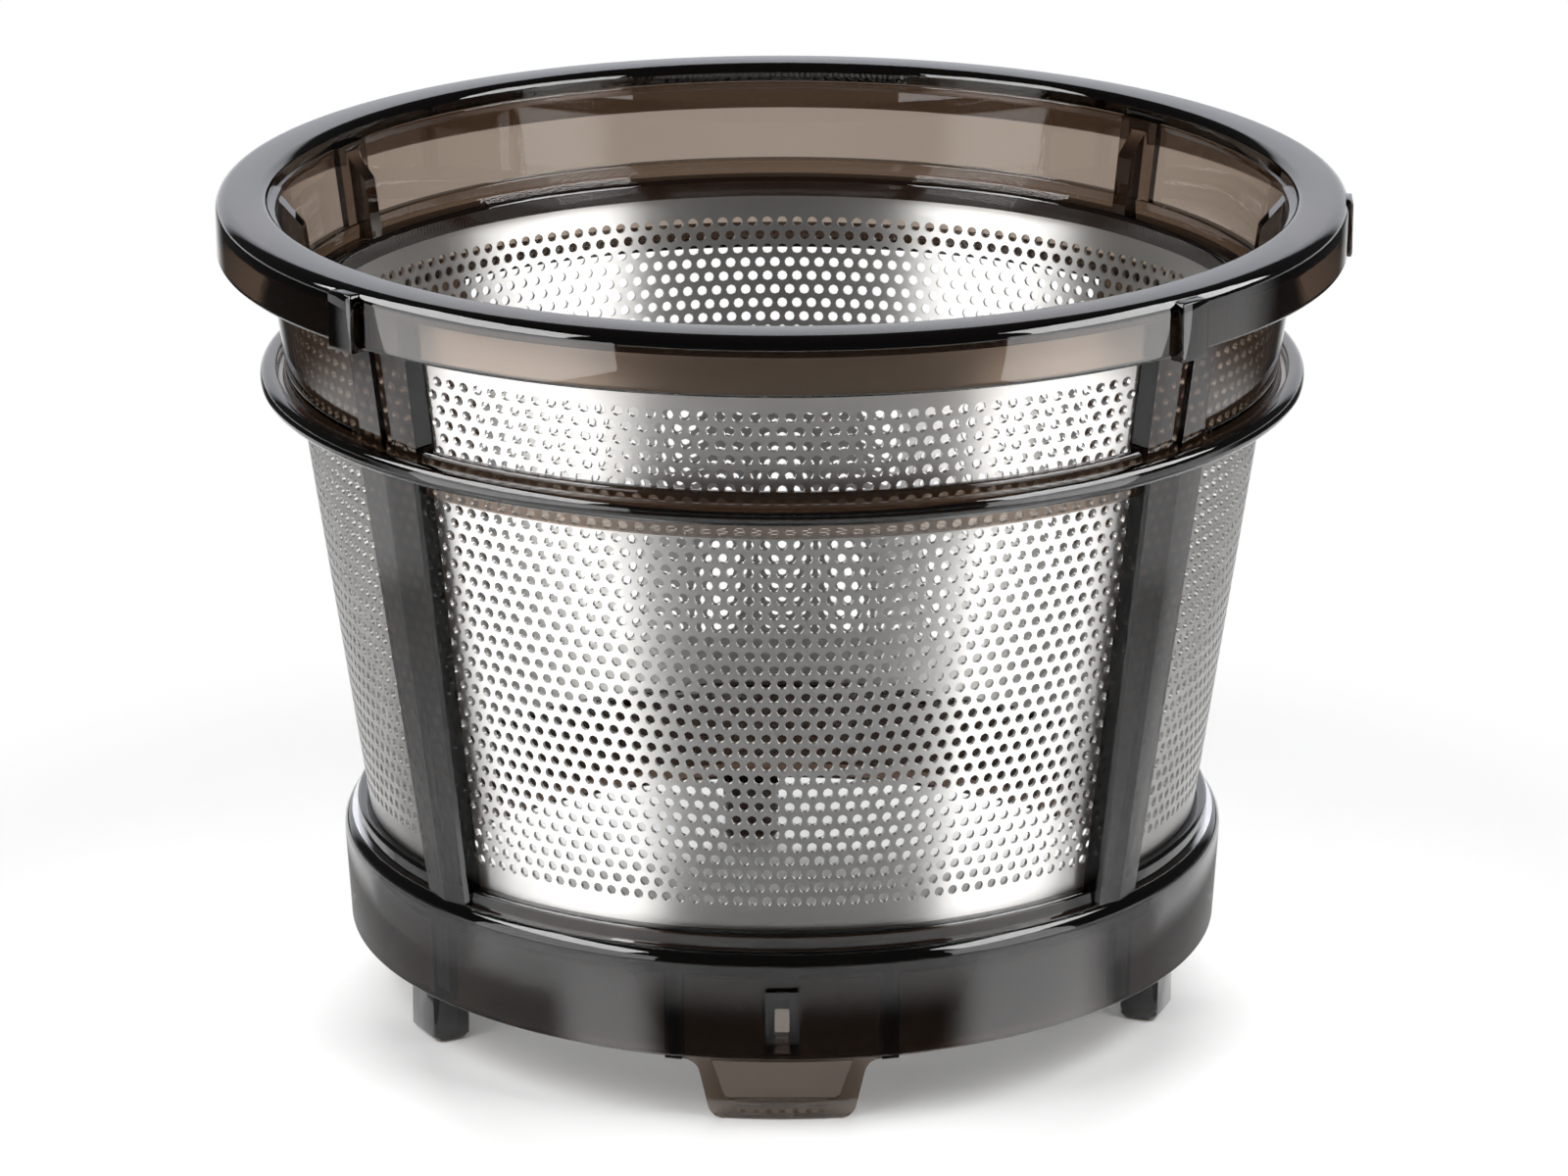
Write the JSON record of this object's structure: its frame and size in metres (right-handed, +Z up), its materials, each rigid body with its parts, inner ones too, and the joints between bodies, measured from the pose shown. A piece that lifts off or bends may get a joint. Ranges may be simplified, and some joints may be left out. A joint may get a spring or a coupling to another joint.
{
  "type": "juicer mesh screen",
  "caption": "Tapered juicer screen: a perforated steel cone held in a smoke-clear basket frame with a flanged rim, a middle ring, a base ring and short feet.",
  "frame": {"origin": "on the axis of the cone, in the plane of the feet", "axes": "+Z up along the axis, -Y to the front with the wide tab, +X to the right seen from the front"},
  "size_m": [0.1204, 0.12, 0.0885],
  "materials": {
    "smoke_plastic": "glossy smoke-clear moulding",
    "screen_steel": "fine brushing round the cone"
  },
  "bodies": {
    "root": {"basket_frame": "smoke_plastic", "mesh_screen": "screen_steel"}
  },
  "joints": []
}
